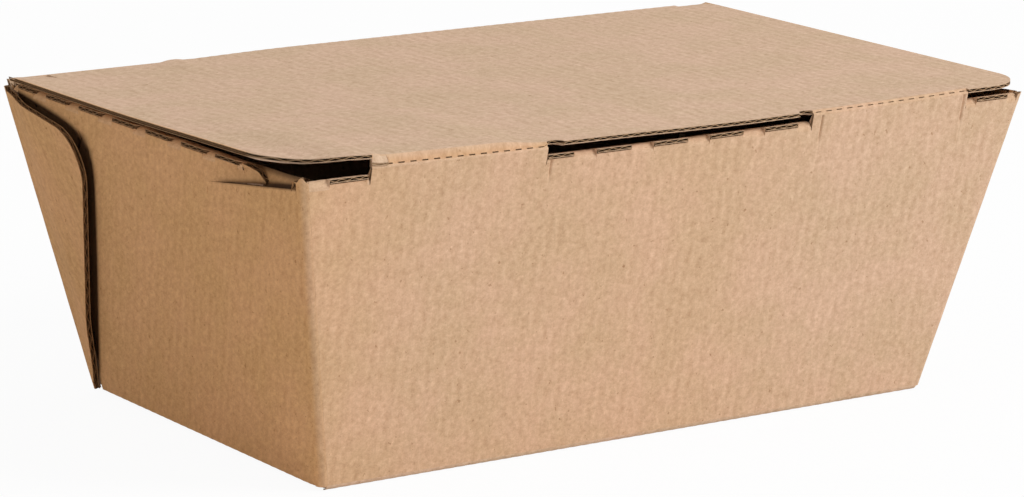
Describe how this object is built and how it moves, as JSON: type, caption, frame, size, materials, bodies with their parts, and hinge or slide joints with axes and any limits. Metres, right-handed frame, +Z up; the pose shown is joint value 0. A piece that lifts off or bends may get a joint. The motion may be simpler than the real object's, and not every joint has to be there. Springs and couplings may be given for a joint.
{
  "type": "takeaway box",
  "caption": "Flared rectangular takeaway box folded from corrugated board, with a hinged lid, rim lips, glued ends and a tuck flap.",
  "frame": {"origin": "centre of the base's underside, on the surface the box stands on", "axes": "+X along the length, +Y from the hinge wall towards the tuck flap, +Z up"},
  "size_m": [0.218, 0.143, 0.0821],
  "materials": {
    "kraft_board": "matte brown kraft liner over a fluted core"
  },
  "bodies": {
    "tray": {"tray": "kraft_board"},
    "lid": {"lid": "kraft_board"}
  },
  "joints": [
    {"name": "lid_hinge", "type": "hinge", "parent": "tray", "child": "lid", "pos_m": [0, -0.07181, 0.0821], "axis": [1, 0, 0], "range_deg": [0, 210]}
  ]
}
